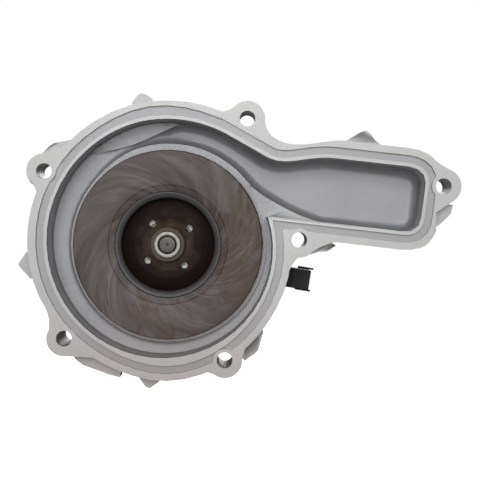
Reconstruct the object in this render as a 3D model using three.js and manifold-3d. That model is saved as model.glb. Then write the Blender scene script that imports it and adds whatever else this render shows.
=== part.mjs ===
// Coolant pump of a heavy diesel engine, with an electromagnetic clutch in its belt pulley.
// Millimetres, +Z up. The shaft turns about the Y axis. The flange face that meets the engine is the
// plane Y = 0, the engine is on the -Y side, and the pulley is behind the housing at large Y.
// Run it from this folder, or import its default export, a THREE.Group of named meshes.
import * as THREE from "three";
import { mergeVertices } from "three/addons/utils/BufferGeometryUtils.js";
import Module from "manifold-3d";

const wasm = await Module();
wasm.setup();

// ---------------------------------------------------------------- driving dimensions
const FIT_GAP = 0.3; // between pieces that touch or are pressed together
const ROUND = 36; // sides of a large turned piece
const MEDIUM_ROUND = 24; // of one about as big as the shaft bearing
const BOSS_ROUND = 24; // of a flange boss and its bolt hole
const SMALL_ROUND = 12; // of a screw, pin or rivet

// Impeller chamber and volute channel. A volute angle, "turn", is in degrees from the tongue, clockwise
// as seen from the engine.
const TONGUE_ANGLE = 15;
const SPIRAL_START = 73.5; // wall radius at the tongue
const SPIRAL_GROWTH = 0.0545; // per degree
const SPIRAL_LARGEST = 88.3;
const SPIRAL_TURNS = 315; // where the spiral runs out into the straight outlet
const LIP_RADIUS = 70.3; // outer edge of the lip round the impeller
const OUTLET_LIP_RADIUS = 72.5; // the same edge beside the outlet channel
const LIP_LEVEL = 20.5;
const SHELF_LEVEL = 23; // volute floor at the left
const OUTLET_LEVEL = 30; // floor of the outlet channel
const RAMP_FROM = 236; // turns between which the floor falls to the outlet level
const RAMP_TO = 300;
const BASE_FILLET = 7;
const FOOT_ANGLES = [0, 22.5, 45, 67.5, 90]; // corners round a fillet
const SHELF_FROM = 242; // turns between which a narrow shelf stays beside the outer wall
const SHELF_TO = 292;
const SHELF_WIDTH = 11.5;
const FLOOR_THICKNESS = 5.5;
const WALL_THICKNESS = 6;

// Flange
const RIM_WIDTH = 2.4; // between the channel and the seal groove
const GROOVE_OUTER = 7.8; // outer edge of the seal groove, from the channel wall
const GROOVE_DEPTH = 2.4;
const GROOVE_TO_BOLT = 8.2; // the groove keeps this far from a bolt's axis
const FLANGE_WIDTH = 12.8;
const BULGE = 3.4; // how far the rim, groove and flange edge stand further out at the bottom
const BULGE_AT = 103; // turn of the bulge
const NO_SWELL = { height: 0, at: 0, span: 1 };
const LEFT_SWELL = { height: 0.8, at: 187, span: 40 }; // extra flange width at the left
const TOP_SWELL = { height: 1.7, at: 281, span: 17 }; // extra groove width at the top
const FLANGE_END = 188.6; // largest X of the flange at the closed end of the outlet
const FLANGE_THICKNESS = 12;
const BOSS_RADIUS = 12.4;
const BOLT_HOLE_RADIUS = 5.55;
const SHORT_BOSS = 31;
const LONG_BOSS = 41;
const LUG_FRONT = 9;
const LUG_BACK = 24;

// Shaft line
const CHAMBER_RADIUS = 68;
const CHAMBER_LEVEL = 25;
const SEAL_BORE = 18.6;
const SEAL_BORE_END = 44;
const THROAT_RADIUS = 12;
const BEARING_BORE = 19.3;
const BEARING_START = 49.7;
const BEARING_END = 86;
const BEARING_OUTER = 19;
const BEARING_INNER = 15;
const BEARING_PITCH = 11.5; // radius of the circle of balls and rollers
const CAGE_INNER = 10.8;
const CAGE_OUTER = 12.2;
const BEARING_SEAL_THICKNESS = 1.8;
const SEAL_FACE = 30.6; // where the seal's two rings run on each other
const SEAL_CUP_BACK = 42;
const SHAFT_RADIUS = 8;
const SHAFT_NOSE = 6.35; // the impeller end of the shaft
const SHAFT_START = 5;
const SHAFT_STEP = 41;
const SHAFT_SHOULDER = 106;
const SHAFT_END = 118;
const THREAD_RADIUS = 5.5;

// Housing back
const SNOUT_RADIUS = 27;
const SNOUT_END = 88;
const SHOULDER_RADIUS = 38;
const SHOULDER_LEVEL = 54; // where the coil is screwed on
const CONE_START = 30.5;

// Impeller
const IMPELLER_RADIUS = 67.3;
const SHROUD_FRONT = 9;
const SHROUD_BACK = 12.2;
const VANE_FRONT = SHROUD_BACK + FIT_GAP;
const EYE_RING_OUTER = 37.6;
const EYE_RADIUS = 33.2;
const EYE_LEVEL = 11;
const EYE_BACK = 15.2;
const PLATE_FRONT = 21;
const PLATE_BACK = 23.6;
const HUB_FACE = 16.5;
const HUB_RADIUS = 12.3;
const HUB_FRONT = 6.5;
const BUSH_FRONT = 4.3;
const BUSH_RADIUS = 9.2;
const BUSH_BORE = 6.7;
const VANES = 7;
const BALANCE_HOLES = 4;
const BALANCE_HOLE_RADIUS = 2.5;
const BALANCE_CIRCLE = 18.7;
const BALANCE_ANGLE = 37.5;

// Clutch
const COIL_INNER = 46;
const COIL_OUTER = 64;
const COIL_END = 78;
const COIL_PLATE = 3;
const COIL_SCREWS = 3;
const COIL_SCREW_CIRCLE = 33;
const PULLEY_BEARING_START = 62;
const PULLEY_BEARING_END = 82;
const PULLEY_HUB_BORE = 41.3;
const PULLEY_CREST = 75;
const PULLEY_START = 58;
const PULLEY_END = 88;
const PULLEY_RIBS = 8;
const RIB_PITCH = 3.56;
const RIB_DEPTH = 3.2;
const FRICTION_FACE = 85;
const AIR_GAP = 0.5;
const ARMATURE_INNER = 47;
const ARMATURE_OUTER = 69.5;
const ARMATURE_THICKNESS = 4.5;
const ARMATURE_RIVET_CIRCLE = 58;
const HUB_RIVET_CIRCLE = 27;
const LEAF_SPRINGS = 3;
const LEAF_SWEEP = 48; // degrees from a leaf's hub rivet to its armature rivet
const LEAF_FRONT = 90.5;
const HUB_PLATE_FRONT = 92;
const HUB_PLATE_BACK = 95.5;

// Connector, in its own frame: +X points out of the socket, and the frame is turned about Y.
const CONNECTOR_AT = [94.8, 57, -26.2];
const CONNECTOR_TILT = 9; // degrees below the horizontal

// The six flange bolts, clockwise from the upper left as seen from the engine. Each boss joins the
// flange edge by a curve on either side: root, bend and the angle at which it meets the boss.
const BOSSES = [
  { at: [-85.9, 51.7], depth: SHORT_BOSS, root: [-91, 36.5], bend: [-92.8, 43], from: 205,
    to: 95, leave: [-78, 66.5], end: [-70, 70], inner: [-62, 38] },
  { at: [56.6, 88.4], depth: SHORT_BOSS, root: [32, 94.2], bend: [42, 91], from: 125,
    to: -10, leave: [70.6, 71.3], end: [92, 69.9], inner: [50, 66] },
  { at: [193.9, 41], depth: SHORT_BOSS, root: [181, 65], bend: [190.2, 56.6], from: 70,
    to: -55, leave: [195, 27], end: [187.6, 22], inner: [170, 44] },
  { at: [92.8, 3.4], depth: SHORT_BOSS, root: [129, 3.4], bend: [112, 2.2], from: -40,
    to: -95, leave: [87, -14], end: [84, -22], inner: [82, 12] },
  { at: [40.5, -80.9], depth: LONG_BOSS, root: [57.5, -68.6], bend: [53.2, -74], from: 0,
    to: -125, leave: [28, -88], end: [18, -89.6], inner: [30, -62] },
  { at: [-72, -65.6], depth: LONG_BOSS, root: [-50, -79], bend: [-62, -78.4], from: -85,
    to: -210, leave: [-81.5, -52], end: [-85.4, -42], inner: [-52, -48] },
];

// Ejector lugs and pads round the housing, a little behind the flange face: outer corners, then two
// inner points that reach into the wall.
const LUGS = [
  [[-25.4, 100.6], [-20.6, 106.4], [-18.2, 107.3], [-15.6, 106.5], [-10.5, 103], [-8, 88], [-24, 84]],
  [
    [125.5, 73], [136.2, 79.3], [140.4, 81], [143.2, 79.5], [147.2, 73.8], [151.6, 70.6],
    [150, 60], [128, 60],
  ],
  [[202.3, 28.2], [200.8, 21.8], [197.5, 18.4], [192.3, 13.8], [180, 8], [186, 30]],
  [[119.4, -0.6], [113, -5], [107.4, -5], [101, -7], [92, -4], [108, 6]],
  [[68.2, -61.5], [64.3, -75], [62, -77.4], [54.9, -82.4], [40, -70], [58, -56]],
  [[-3, -94.8], [-8, -98.8], [-12.2, -101.8], [-15.4, -101.2], [-20.2, -94.5], [-18, -84], [-4, -84]],
  [[-33.8, -94.2], [-41.2, -92.3], [-60.2, -85.4], [-66, -80.8], [-68, -72], [-50, -66], [-32, -84]],
  [[-97.2, -24.2], [-105.2, -15.4], [-105.7, -13.4], [-100.3, -5.4], [-88, -6], [-86, -22]],
  [[-89.5, 64.2], [-83.6, 70], [-80.3, 72.2], [-74.4, 73.1], [-67.6, 74.5], [-60, 62], [-78, 54]],
];

// ---------------------------------------------------------------- materials
function material(color, roughness, metalness) {
  return new THREE.MeshStandardMaterial({ color, roughness, metalness });
}
const CAST_ALUMINIUM = material(0xc4c4c0, 0.5, 0.7);
const BEARING_STEEL = material(0xb9bbbf, 0.25, 1);
const BRIGHT_STEEL = material(0xbeb9b2, 0.3, 1);
const DARK_STEEL = material(0x55524e, 0.45, 0.9);
const BROWN_PLASTIC = material(0x5f5552, 0.5, 0);
const RING_PLASTIC = material(0x3e4242, 0.35, 0);
const BLACK_PLASTIC = material(0x1b1b1d, 0.5, 0);
const BLACK_RUBBER = material(0x161616, 0.8, 0);
const COPPER_POTTING = material(0x5a3220, 0.6, 0);
const CARBON = material(0x2b2b2d, 0.35, 0);
const CERAMIC = material(0xd8d4c8, 0.3, 0);
const BLACK_PAINT = material(0x202224, 0.5, 0.2);
const SPRING_STEEL = material(0x8e949c, 0.3, 1);

// ---------------------------------------------------------------- solids
function radians(degrees) {
  return (degrees * Math.PI) / 180;
}

// A closed three.js geometry as a solid, with its faces turned outward.
function solid(geometry) {
  const bare = geometry.clone();
  bare.deleteAttribute("normal");
  bare.deleteAttribute("uv");
  const merged = mergeVertices(bare, 1e-3);
  const vertProperties = new Float32Array(merged.attributes.position.array);
  const triVerts = new Uint32Array(merged.index.array);
  const made = new wasm.Manifold(new wasm.Mesh({ numProp: 3, vertProperties, triVerts }));
  if (made.volume() > 0) return made;
  triVerts.reverse();
  return new wasm.Manifold(new wasm.Mesh({ numProp: 3, vertProperties, triVerts }));
}

function geometryOf(body) {
  const mesh = body.getMesh();
  const geometry = new THREE.BufferGeometry();
  geometry.setAttribute("position", new THREE.BufferAttribute(new Float32Array(mesh.vertProperties), 3));
  geometry.setIndex(new THREE.BufferAttribute(new Uint32Array(mesh.triVerts), 1));
  geometry.computeVertexNormals();
  return geometry;
}

function join(bodies) {
  return bodies.reduce((all, body) => all.add(body));
}

function cut(body, tools) {
  return tools.reduce((rest, tool) => rest.subtract(tool), body);
}

// A ring turned about the Y axis from a closed profile of [radius, y] corners.
function turned(profile, sides = ROUND) {
  const points = profile.map(([radius, y]) => new THREE.Vector2(radius, y));
  points.push(points[0].clone());
  return solid(new THREE.LatheGeometry(points, sides));
}

// A piece with material on the axis: the profile runs from the axis round its outside to the axis.
function turnedBar(profile, sides = ROUND) {
  return solid(new THREE.LatheGeometry(profile.map(([radius, y]) => new THREE.Vector2(radius, y)), sides));
}

function tube(inner, outer, near, far, sides = ROUND) {
  return turned([[inner, near], [outer, near], [outer, far], [inner, far]], sides);
}

function disc(radius, near, far, sides = ROUND) {
  return turnedBar([[0, near], [radius, near], [radius, far], [0, far]], sides);
}

// An outline in the X-Z plane made as thick as from y = near to y = far.
function slab(shape, near, far, corner = 0, curveSegments = 4) {
  const geometry = new THREE.ExtrudeGeometry(shape, {
    depth: far - near - 2 * corner,
    bevelEnabled: corner > 0,
    bevelThickness: corner,
    bevelSize: corner,
    bevelOffset: -corner,
    bevelSegments: 1,
    curveSegments,
  });
  geometry.translate(0, 0, corner - far);
  geometry.rotateX(Math.PI / 2);
  return solid(geometry);
}

function polygon(points) {
  return new THREE.Shape(points.map((p) => (p.isVector2 ? p : new THREE.Vector2(p[0], p[1]))));
}

function box(sizeX, sizeY, sizeZ, x, y, z) {
  const geometry = new THREE.BoxGeometry(sizeX, sizeY, sizeZ);
  geometry.translate(x, y, z);
  return solid(geometry);
}

// A pin or hole along Y at (x, z).
function pin(radius, near, far, [x, z], sides = SMALL_ROUND) {
  return disc(radius, near, far, sides).translate([x, 0, z]);
}

function polar(radius, degrees) {
  return new THREE.Vector2(radius * Math.cos(radians(degrees)), radius * Math.sin(radians(degrees)));
}

function blend(a, b, from, to, at) {
  const share = THREE.MathUtils.clamp((at - from) / (to - from), 0, 1);
  return a + (b - a) * share;
}

// The spots of `count` things on a circle round the shaft.
function round(count, radius, start = 90) {
  return Array.from({ length: count }, (_, i) => polar(radius, start + (360 * i) / count).toArray());
}

// ---------------------------------------------------------------- volute and outlet outlines
function wallRadius(turn) {
  return Math.min(SPIRAL_START + SPIRAL_GROWTH * turn, SPIRAL_LARGEST);
}

// A smooth rise to 1 at `peak` and back, over the given spans before and after it.
function hump(at, peak, before, after) {
  const off = (at - peak) / (at < peak ? before : after);
  return Math.exp(-off * off);
}

function floorLevel(turn) {
  if (turn < RAMP_FROM) return blend(LIP_LEVEL, SHELF_LEVEL, 0, 195, turn);
  const fall = THREE.MathUtils.smoothstep(turn, RAMP_FROM, RAMP_TO);
  return SHELF_LEVEL + (OUTLET_LEVEL - SHELF_LEVEL) * fall;
}

// Upper wall of the outlet, from the end of the spiral round the far corner to the end wall.
function upperWall() {
  const start = polar(SPIRAL_LARGEST, TONGUE_ANGLE - SPIRAL_TURNS);
  const path = new THREE.Path().moveTo(start.x, start.y);
  path.lineTo(70.9, 61.2);
  path.quadraticCurveTo(78.5, 56.9, 93.3, 59.4);
  path.quadraticCurveTo(107.9, 61.8, 118, 60.7);
  path.lineTo(168, 55.1);
  path.quadraticCurveTo(181.6, 53.4, 181.3, 43);
  return path;
}

// Lower wall of the outlet, from the tongue to the end wall.
function lowerWall() {
  const path = new THREE.Path().moveTo(73.2, 19.9);
  path.lineTo(93.3, 17.7);
  path.lineTo(165, 9.4);
  path.quadraticCurveTo(177.2, 8, 178.2, 20);
  return path;
}

// Inner edge of the deep channel: beside the lip, then across to the lower wall.
function channelEdge() {
  const start = polar(OUTLET_LIP_RADIUS, TONGUE_ANGLE - SPIRAL_TURNS);
  const path = new THREE.Path().moveTo(start.x, start.y);
  path.absarc(0, 0, OUTLET_LIP_RADIUS, radians(60), radians(37), true);
  path.quadraticCurveTo(62.5, 37.5, 80.2, 28);
  path.quadraticCurveTo(99, 17.5, 112, 15.6);
  path.lineTo(165, 9.4);
  path.quadraticCurveTo(177.2, 8, 178.2, 20);
  return path;
}

// Corners of an outline moved outward by `extra`, along the bisector at each corner.
function widened(points, extra) {
  const clockwise = THREE.ShapeUtils.area(points) < 0;
  const side = clockwise ? -1 : 1;
  return points.map((p, i) => {
    const before = points[(i + points.length - 1) % points.length];
    const after = points[(i + 1) % points.length];
    const a = p.clone().sub(before).normalize();
    const b = after.clone().sub(p).normalize();
    const normal = new THREE.Vector2(a.y + b.y, -a.x - b.x).multiplyScalar(side).normalize();
    const miter = extra / Math.max(0.4, normal.dot(new THREE.Vector2(a.y, -a.x)) * side);
    return p.clone().addScaledVector(normal, miter);
  });
}

function spiralOutline(extra, swell = NO_SWELL) {
  const points = [];
  const step = 7.5;
  for (let turn = 0; turn <= SPIRAL_TURNS; turn += step) {
    const bulge = BULGE * hump(turn, BULGE_AT, 33, 22);
    const more = swell.height * hump(turn, swell.at, swell.span, swell.span);
    points.push(polar(wallRadius(turn) + extra + bulge + more, TONGUE_ANGLE - turn));
  }
  return polygon(points);
}

function outletOutline(extra) {
  const upper = upperWall().getPoints(5);
  const lower = lowerWall().getPoints(5).reverse();
  const inside = new THREE.Vector2(40, 50);
  return polygon(widened([...upper, ...lower, inside], extra));
}

// The channel outline, widened by `extra`, from y = near to y = far.
function channelSlab(extra, near, far, swell) {
  return slab(spiralOutline(extra, swell), near, far).add(slab(outletOutline(extra), near, far));
}

// ---------------------------------------------------------------- volute channel as a swept cut
// One cross-section of the channel between inner point a and outer point b: a list of corners with
// rounded feet on both sides and, where the shelf is wide, a step up to the shelf.
function channelSection(a, b, floor, innerFoot, outerFoot, shelfWidth) {
  const width = a.distanceTo(b);
  const toward = b.clone().sub(a).normalize();
  const corner = Math.min(1.2, width * 0.12);
  const shelf = Math.max(shelfWidth, corner);
  const inner = Math.min(innerFoot.run, width * 0.35);
  const outer = Math.min(outerFoot.run, width * 0.35, Math.max(width - shelf - inner - 0.4, 0.2));
  const shelfLevel = floor - outerFoot.rise;
  const corners = [[0, -1]];
  for (const angle of FOOT_ANGLES) {
    const rise = innerFoot.rise * (1 - Math.sin(radians(angle)));
    corners.push([inner * (1 - Math.cos(radians(angle))), floor - rise]);
  }
  for (const angle of FOOT_ANGLES) {
    const rise = outerFoot.rise * (1 - Math.cos(radians(angle)));
    corners.push([width - shelf - outer * (1 - Math.sin(radians(angle))), floor - rise]);
  }
  corners.push([width - corner * 0.5, shelfLevel - corner * 0.1]);
  corners.push([width, shelfLevel - corner]);
  corners.push([width, -1]);
  return corners.map(([across, depth]) => {
    const p = a.clone().addScaledVector(toward, across);
    return new THREE.Vector3(p.x, depth, p.y);
  });
}

function spiralSections() {
  const sections = [];
  const step = 7.5;
  for (let turn = 0; turn < SPIRAL_TURNS; turn += turn < RAMP_FROM - step ? step : step / 2) {
    const angle = TONGUE_ANGLE - turn;
    const floor = floorLevel(turn);
    const lip = blend(LIP_RADIUS, OUTLET_LIP_RADIUS, RAMP_FROM, 265, turn);
    const foot = blend(3, BASE_FILLET, RAMP_FROM, RAMP_TO, turn);
    const open = Math.sin(Math.PI * blend(0, 1, SHELF_FROM, SHELF_TO, turn));
    sections.push(
      channelSection(polar(lip, angle), polar(wallRadius(turn), angle), floor,
        { run: foot, rise: floor - LIP_LEVEL },
        { run: foot, rise: Math.max(floor - SHELF_LEVEL, 0) },
        open * SHELF_WIDTH),
    );
  }
  return sections;
}

function outletSections() {
  const steps = 24;
  const inner = channelEdge().getSpacedPoints(steps);
  const outer = upperWall().getSpacedPoints(steps);
  const endWall = 179.6;
  return inner.map((a, i) => {
    const b = outer[i];
    const toEnd = endWall - (a.x + b.x) / 2;
    const past = THREE.MathUtils.clamp((BASE_FILLET - toEnd) / BASE_FILLET, 0, 1);
    const floor = OUTLET_LEVEL - BASE_FILLET * (1 - Math.sqrt(1 - past * past));
    const rise = floor - SHELF_LEVEL + 0.05;
    const ledge = blend(floor - LIP_LEVEL, rise, 80, 112, a.x);
    return channelSection(a, b, floor, { run: BASE_FILLET, rise: ledge }, { run: BASE_FILLET, rise }, 0);
  });
}

// A body swept through matching rings of corners, closed at both ends.
function swept(sections) {
  const size = sections[0].length;
  const positions = sections.flat().flatMap((p) => p.toArray());
  const triangles = [];
  for (let i = 0; i + 1 < sections.length; i += 1) {
    for (let j = 0; j < size; j += 1) {
      const a = i * size + j;
      const b = i * size + ((j + 1) % size);
      triangles.push(a, b, a + size, b, b + size, a + size);
    }
  }
  const last = (sections.length - 1) * size;
  for (let j = 1; j + 1 < size; j += 1) {
    triangles.push(0, j + 1, j);
    triangles.push(last, last + j, last + j + 1);
  }
  const geometry = new THREE.BufferGeometry();
  geometry.setAttribute("position", new THREE.Float32BufferAttribute(positions, 3));
  geometry.setIndex(triangles);
  return solid(geometry);
}

// ---------------------------------------------------------------- housing
function bossOutline({ at, root, bend, from, to, leave, end, inner }) {
  const shape = new THREE.Shape().moveTo(inner[0], inner[1]);
  const first = polar(BOSS_RADIUS, from);
  shape.lineTo(root[0], root[1]);
  shape.quadraticCurveTo(bend[0], bend[1], at[0] + first.x, at[1] + first.y);
  shape.absarc(at[0], at[1], BOSS_RADIUS, radians(from), radians(to), true);
  shape.quadraticCurveTo(leave[0], leave[1], end[0], end[1]);
  return shape;
}

function flange() {
  const keep = polygon([
    [-150, -150], [FLANGE_END, -150], [FLANGE_END, 150], [60, 150], [60, 80], [30, 80], [-150, 60],
  ]);
  const outlet = slab(outletOutline(FLANGE_WIDTH), 0, FLANGE_THICKNESS);
  const dip = polygon([
    [80, 71.4], [88, 70.4], [97, 70.3], [106, 71.4], [116, 72.7], [124, 73.4], [124, 80], [80, 80],
  ]);
  const trimmed = cut(outlet.intersect(slab(keep, -1, FLANGE_THICKNESS + 1)), [
    slab(dip, -1, FLANGE_THICKNESS + 1),
  ]);
  const corner = pin(13.4, 0, FLANGE_THICKNESS, [173.6, 10.6], BOSS_ROUND);
  const webs = BOSSES.map((boss) => slab(bossOutline(boss), 0, FLANGE_THICKNESS, 0, 7));
  const scroll = slab(spiralOutline(FLANGE_WIDTH, LEFT_SWELL), 0, FLANGE_THICKNESS);
  return join([scroll, trimmed, corner, ...webs]);
}

// The scroll's outside follows its floor, which deepens round the spiral.
function scrollBody() {
  const sections = [];
  const step = 7.5;
  for (let turn = 0; turn <= SPIRAL_TURNS; turn += step) {
    const angle = TONGUE_ANGLE - turn;
    const back = Math.max(floorLevel(turn) + FLOOR_THICKNESS, CONE_START - 2);
    const outer = wallRadius(turn) + WALL_THICKNESS;
    const profile = [[40, 1], [40, back], [outer - 4, back], [outer, back - 4], [outer, 1]];
    sections.push(profile.map(([radius, y]) => {
      const p = polar(radius, angle);
      return new THREE.Vector3(p.x, y, p.y);
    }));
  }
  return swept(sections);
}

function housingBack() {
  const snout = turnedBar([
    [0, 20], [78, 20], [78, CONE_START - 3], [75, CONE_START], [57, CONE_START], [54, 37],
    [SHOULDER_RADIUS + 2, 45],
    [SHOULDER_RADIUS, 47], [SHOULDER_RADIUS, SHOULDER_LEVEL - FIT_GAP],
    [SNOUT_RADIUS, SHOULDER_LEVEL - FIT_GAP], [SNOUT_RADIUS, SNOUT_END - 1], [SNOUT_RADIUS - 1, SNOUT_END],
    [0, SNOUT_END],
  ]);
  const duct = slab(outletOutline(WALL_THICKNESS), 2, OUTLET_LEVEL + FLOOR_THICKNESS, 4);
  return snout.add(duct);
}

function ribs() {
  const rib = new THREE.Shape([
    new THREE.Vector2(30, 24), new THREE.Vector2(80, 24), new THREE.Vector2(80, 33),
    new THREE.Vector2(40, 46), new THREE.Vector2(30, 46),
  ]);
  const thickness = 5;
  const geometry = new THREE.ExtrudeGeometry(rib, { depth: thickness, bevelEnabled: false });
  geometry.translate(0, 0, -thickness / 2);
  const blank = solid(geometry);
  return [60, 110, 160, 210, 260, 310].map((angle) => blank.rotate([0, -angle, 0]));
}

function pumpHousing() {
  const bosses = BOSSES.map(({ at, depth }) => pin(BOSS_RADIUS, 1, depth, at, BOSS_ROUND));
  const lugs = LUGS.map((corners) => slab(polygon(corners), LUG_FRONT, LUG_BACK));
  const body = join([flange(), scrollBody(), housingBack(), ...ribs(), ...bosses, ...lugs]);

  const groove = cut(channelSlab(GROOVE_OUTER, -1, GROOVE_DEPTH, TOP_SWELL), [
    channelSlab(RIM_WIDTH, -2, GROOVE_DEPTH + 1),
  ]);
  const islands = BOSSES.map(({ at }) => pin(GROOVE_TO_BOLT, -2, GROOVE_DEPTH + 1, at, BOSS_ROUND));
  const land = polygon([
    [71, 18.9], [73.2, 19.9], [93.3, 17.7], [112, 15.55], [80.2, 30], [62, 42], [44, 40],
  ]);
  const bolts = BOSSES.map(({ at }) => pin(BOLT_HOLE_RADIUS, -1, LONG_BOSS + 1, at, BOSS_ROUND));
  const screws = round(COIL_SCREWS, COIL_SCREW_CIRCLE).map((at) => pin(2.8, 44, SHOULDER_LEVEL, at, 12));
  const weep = disc(3, 8, 70, 12).rotate([-90, 0, 0]).translate([0, 46.5, 0]);
  return cut(body, [
    swept([...spiralSections(), ...outletSections()]),
    slab(land, -1, LIP_LEVEL),
    disc(SPIRAL_START - 0.5, -1, LIP_LEVEL),
    disc(CHAMBER_RADIUS, -1, CHAMBER_LEVEL),
    disc(SEAL_BORE, 20, SEAL_BORE_END, MEDIUM_ROUND),
    disc(THROAT_RADIUS, 40, 60, MEDIUM_ROUND),
    disc(BEARING_BORE, 49, SNOUT_END + 1, MEDIUM_ROUND),
    cut(groove, islands),
    tube(SNOUT_RADIUS - 1.4, SNOUT_RADIUS + 1, 82.3, 84.1),
    weep,
    ...bolts,
    ...screws,
  ]);
}

// ---------------------------------------------------------------- shaft, bearing and seal
function pumpShaft() {
  return turnedBar([
    [0, SHAFT_START], [SHAFT_NOSE - 0.9, SHAFT_START], [SHAFT_NOSE, SHAFT_START + 0.9],
    [SHAFT_NOSE, SHAFT_STEP], [SHAFT_RADIUS, SHAFT_STEP + 1], [SHAFT_RADIUS, SHAFT_SHOULDER],
    [THREAD_RADIUS, SHAFT_SHOULDER], [THREAD_RADIUS, SHAFT_END - 1], [THREAD_RADIUS - 1, SHAFT_END],
    [0, SHAFT_END],
  ], MEDIUM_ROUND);
}

// Rolling elements and the cage that spaces them, as one piece.
function rollingRow(count, pitch, elements, cage) {
  const places = round(count, pitch);
  return join([cage, ...places.map(([x, z]) => elements.translate([x, 0, z]))]);
}

function bearingPart(inner, outer, near, far) {
  return tube(inner, outer, near, far, MEDIUM_ROUND);
}

function bearingSeal(near) {
  return bearingPart(SHAFT_RADIUS + 0.5, BEARING_INNER - FIT_GAP, near, near + BEARING_SEAL_THICKNESS);
}

function shaftBearingBalls() {
  const ball = new THREE.SphereGeometry(3.2, 8, 4);
  ball.translate(0, 58, 0);
  return rollingRow(8, BEARING_PITCH, solid(ball), bearingPart(CAGE_INNER, CAGE_OUTER, 56, 60));
}

function pulleyBearingBalls() {
  const middle = (PULLEY_BEARING_START + PULLEY_BEARING_END) / 2;
  const ball = new THREE.SphereGeometry(2.7, 6, 4);
  ball.translate(0, middle, 0);
  return rollingRow(12, 34, solid(ball), bearingPart(33.2, 34.8, middle - 1.6, middle + 1.6));
}

function shaftBearingRollers() {
  return rollingRow(10, BEARING_PITCH, disc(3.1, 68, 80, 8), bearingPart(CAGE_INNER, CAGE_OUTER, 67, 81));
}

// Pressed cup that carries the seal's spring and bellows: a wall in the bore and a floor behind.
function sealCup() {
  const outer = SEAL_BORE - FIT_GAP;
  const inner = outer - 1.4;
  const back = SEAL_CUP_BACK + 1;
  const hole = SHAFT_RADIUS + 0.8;
  return turned([
    [inner, 27], [outer, 27], [outer, back], [hole, back], [hole, SEAL_CUP_BACK], [inner, SEAL_CUP_BACK],
  ], MEDIUM_ROUND);
}

function sealSpring() {
  const turns = 3;
  const steps = 12;
  const points = Array.from({ length: turns * steps + 1 }, (_, i) => {
    const p = polar(14.9, (360 * i) / steps);
    return new THREE.Vector3(p.x, 36.4 + (i * 4.4) / (turns * steps), p.y);
  });
  const wire = new THREE.Shape().absarc(0, 0, 0.7, 0, 2 * Math.PI);
  const path = new THREE.CatmullRomCurve3(points);
  const options = { steps: turns * steps, extrudePath: path, curveSegments: 2 };
  return solid(new THREE.ExtrudeGeometry(wire, options));
}

// ---------------------------------------------------------------- impeller
// A backward-curved vane: its outer end lags behind its inner end as the impeller turns.
function vane(start) {
  const inner = EYE_RING_OUTER + 0.7;
  const outer = IMPELLER_RADIUS - 0.6;
  const steps = 5;
  const front = [];
  const back = [];
  for (let i = 0; i <= steps; i += 1) {
    const share = i / steps;
    const radius = inner + (outer - inner) * share;
    const lag = 52 * Math.pow(share, 0.8);
    const half = (1.3 / radius) * (180 / Math.PI) * 1.6;
    front.push(polar(radius, start + lag - half));
    back.push(polar(radius, start + lag + half));
  }
  return slab(polygon([...front, ...back.reverse()]), VANE_FRONT, PLATE_FRONT + 1);
}

// Hub, back plate and vanes in one moulding; the shroud is welded to the vanes' front edges.
function impeller() {
  const backPlate = turned([
    [BUSH_RADIUS + FIT_GAP, HUB_FRONT], [HUB_RADIUS - 0.6, HUB_FRONT], [HUB_RADIUS, HUB_FRONT + 0.6],
    [HUB_RADIUS + 0.3, 13.6], [13.6, 15.7], [16, HUB_FACE], [24, HUB_FACE], [29, 18.4], [34, PLATE_FRONT],
    [IMPELLER_RADIUS, PLATE_FRONT], [IMPELLER_RADIUS, PLATE_BACK], [34, PLATE_BACK], [25, 19.8],
    [14, 19.8], [13, 24.4], [BUSH_RADIUS + FIT_GAP, 24.4],
  ]);
  const shroudRoom = turned([
    [36, 12], [45.3, 12], [45.3, VANE_FRONT], [41.2, EYE_BACK + FIT_GAP], [36, EYE_BACK + FIT_GAP],
  ]);
  const vanes = Array.from({ length: VANES }, (_, i) => vane((360 * i) / VANES));
  const holes = round(BALANCE_HOLES, BALANCE_CIRCLE, BALANCE_ANGLE)
    .map((at) => pin(BALANCE_HOLE_RADIUS, 10, 24, at, 16));
  return cut(join([backPlate, ...vanes]), [shroudRoom, ...holes]);
}

function impellerShroud() {
  return turned([
    [EYE_RING_OUTER + FIT_GAP, EYE_LEVEL], [42.3, 10.5], [42.7, 9.9], [IMPELLER_RADIUS - 0.7, SHROUD_FRONT],
    [IMPELLER_RADIUS, SHROUD_FRONT + 0.7], [IMPELLER_RADIUS, SHROUD_BACK], [45, SHROUD_BACK], [41, EYE_BACK],
    [EYE_RING_OUTER + FIT_GAP, EYE_BACK],
  ]);
}

function impellerEyeRing() {
  return turned([
    [EYE_RADIUS, 14], [33.9, 12.5], [35.2, 11.5], [36.8, EYE_LEVEL], [EYE_RING_OUTER, EYE_LEVEL],
    [EYE_RING_OUTER, EYE_BACK], [EYE_RADIUS, EYE_BACK],
  ]);
}

// ---------------------------------------------------------------- clutch
// Curved slots that split a plate's magnetic path, on a circle of the given radii.
function arcSlots(inner, outer, near, far, count, start) {
  const span = 360 / count - 18;
  return Array.from({ length: count }, (_, i) => {
    const from = radians(start + (360 * i) / count);
    const to = from + radians(span);
    const shape = new THREE.Shape().absarc(0, 0, outer, from, to, false);
    shape.absarc(0, 0, inner, to, from, true);
    return slab(shape, near, far);
  });
}

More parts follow.
